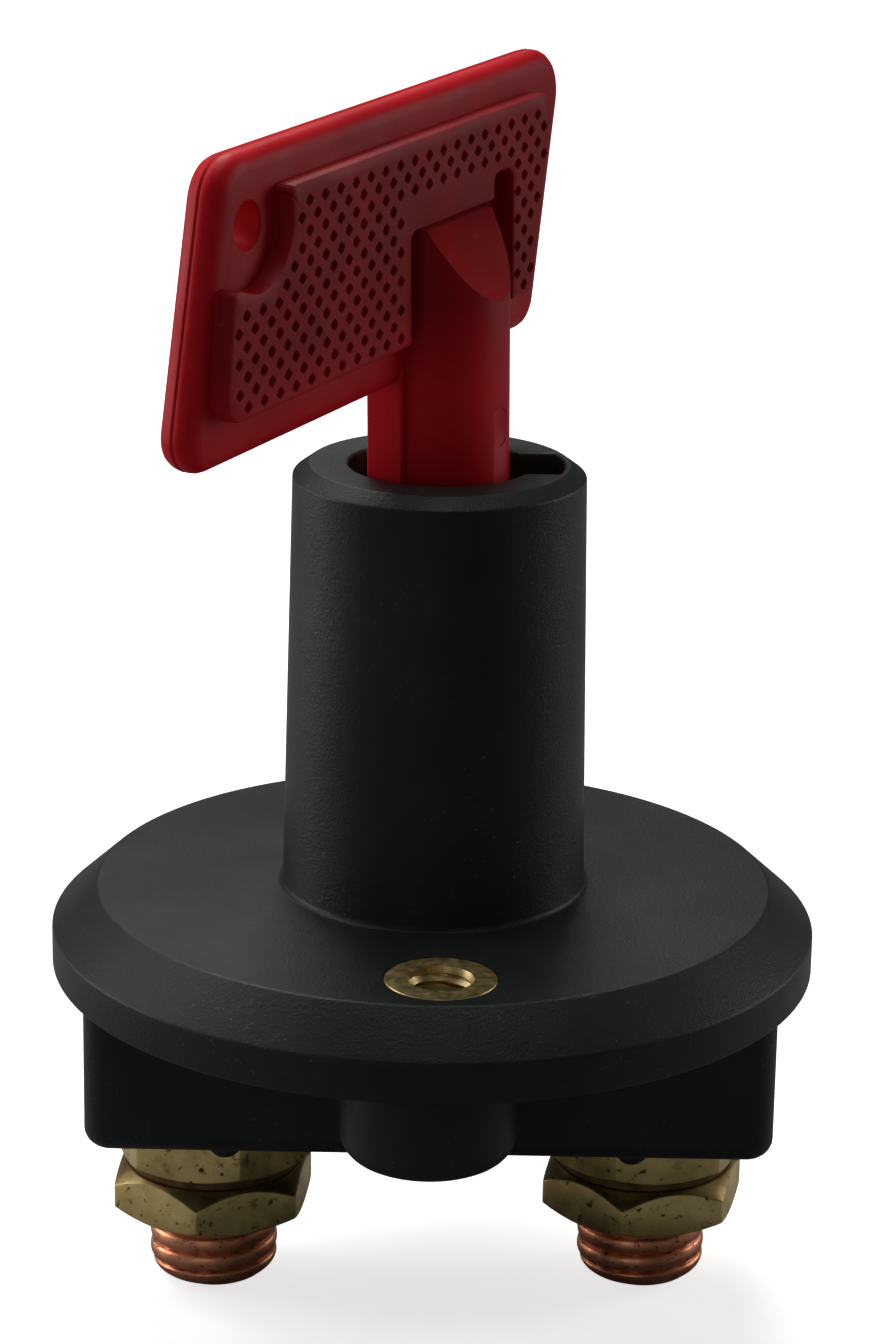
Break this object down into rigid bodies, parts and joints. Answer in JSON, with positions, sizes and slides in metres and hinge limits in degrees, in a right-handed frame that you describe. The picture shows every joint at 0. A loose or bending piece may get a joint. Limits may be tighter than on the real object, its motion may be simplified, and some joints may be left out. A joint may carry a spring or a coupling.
{
  "type": "battery switch",
  "caption": "Panel-mounted battery isolator with a round black flange, a tall neck, a removable red key and two copper terminal studs.",
  "frame": {"origin": "where the key's turning axis meets the top face of the flange", "axes": "+Z along the turning axis towards the key, X through the two terminal studs, Y through the two threaded inserts; -Y is the side facing the viewer"},
  "size_m": [0.07, 0.0709, 0.1134],
  "materials": {
    "black_housing": "satin moulded, fine grain",
    "red_key": "semi-gloss moulded",
    "insert_brass": "turned, worn bright at the mouth",
    "nut_brass": "tarnished, spotted",
    "washer_brass": "thin, dark with tarnish",
    "stud_copper": "copper, rolled thread",
    "steel": "zinc plated",
    "spring_steel": "drawn wire",
    "rubber": "matt",
    "inner_plastic": "natural, matt",
    "silver": "satin",
    "bridge_copper": "copper, pressed"
  },
  "bodies": {
    "housing": {"housing": "black_housing", "threaded_inserts": "insert_brass", "base_plate": "black_housing", "base_gasket": "rubber", "base_screws": "steel", "stud_left": "stud_copper", "stud_right": "stud_copper", "stud_contacts": "silver", "stud_seals": "rubber", "stud_nuts": "nut_brass", "nut_washers": "washer_brass", "terminal_nuts": "nut_brass", "retaining_ring": "spring_steel", "spring_seat": "steel", "return_spring": "spring_steel"},
    "rotor": {"rotor": "inner_plastic", "rotor_seal": "rubber"},
    "carrier": {"plunger": "inner_plastic", "contact_bridge": "bridge_copper", "bridge_contacts": "silver", "bridge_clip": "spring_steel", "contact_spring": "spring_steel"},
    "key": {"key": "red_key"}
  },
  "joints": [
    {"name": "key_turn", "type": "hinge", "parent": "housing", "child": "rotor", "pos_m": [0, 0, 0], "axis": [0, 0, 1], "range_deg": [-90, 0]},
    {"name": "carrier_drop", "type": "slide", "parent": "housing", "child": "carrier", "axis": [0, 0, -1], "range_m": [0, 0.003], "deforming": ["return_spring"]},
    {"name": "key_withdraw", "type": "slide", "parent": "rotor", "child": "key", "axis": [-0.0167, -0.0287, 0.9995], "range_m": [0, 0.03]}
  ],
  "couplings": [
    {"joint": "key_turn", "follows": "carrier_drop", "rad_per_m": -523.59}
  ]
}
